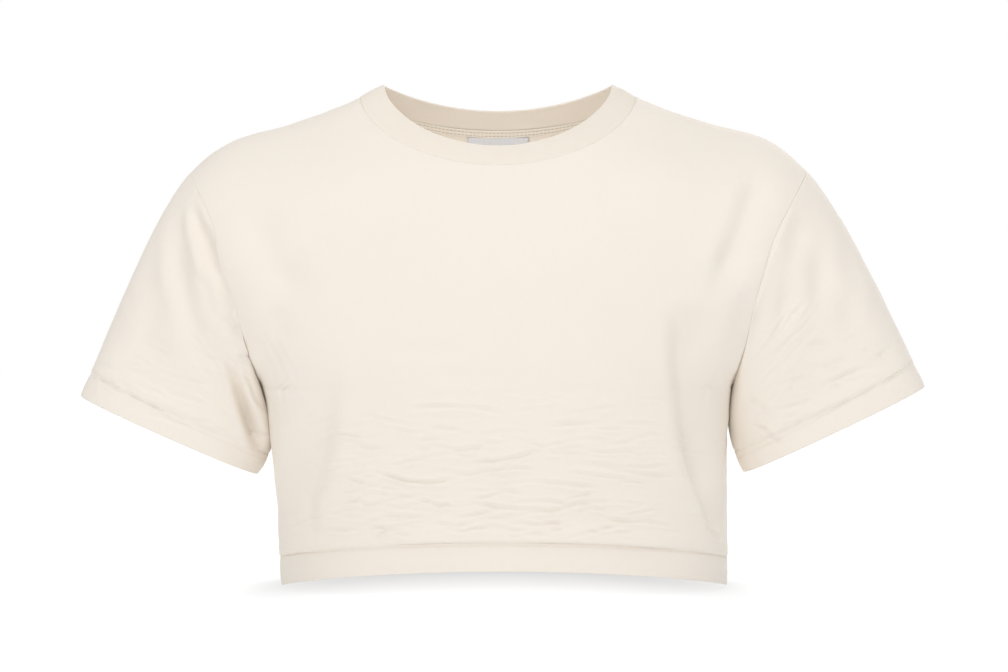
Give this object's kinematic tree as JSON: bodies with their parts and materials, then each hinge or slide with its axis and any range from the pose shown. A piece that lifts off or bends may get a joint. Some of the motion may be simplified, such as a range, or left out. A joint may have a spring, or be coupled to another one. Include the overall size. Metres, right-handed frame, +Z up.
{
  "type": "crop top",
  "caption": "Short-sleeved crew-neck crop top in cotton jersey, worn-shaped and empty, open at the neck, hem and cuffs.",
  "frame": {"origin": "midway between the neck ends of the two shoulder seams, where the garment hangs on its wearer", "axes": "+X towards the wearer's left sleeve, -Y out of the front, +Z up"},
  "size_m": [0.6765, 0.2184, 0.4],
  "materials": {
    "jersey": "matt cream cotton single jersey, fine vertical wales",
    "rib": "matt cream cotton rib, folded double",
    "tape": "matt cream cotton tape, stitched along both edges",
    "label_satin": "pale blue-grey woven satin, blank"
  },
  "bodies": {
    "root": {"front": "jersey", "back": "jersey", "sleeve_left": "jersey", "sleeve_right": "jersey", "neckband": "rib", "neck_tape": "tape", "label": "label_satin"}
  },
  "joints": []
}
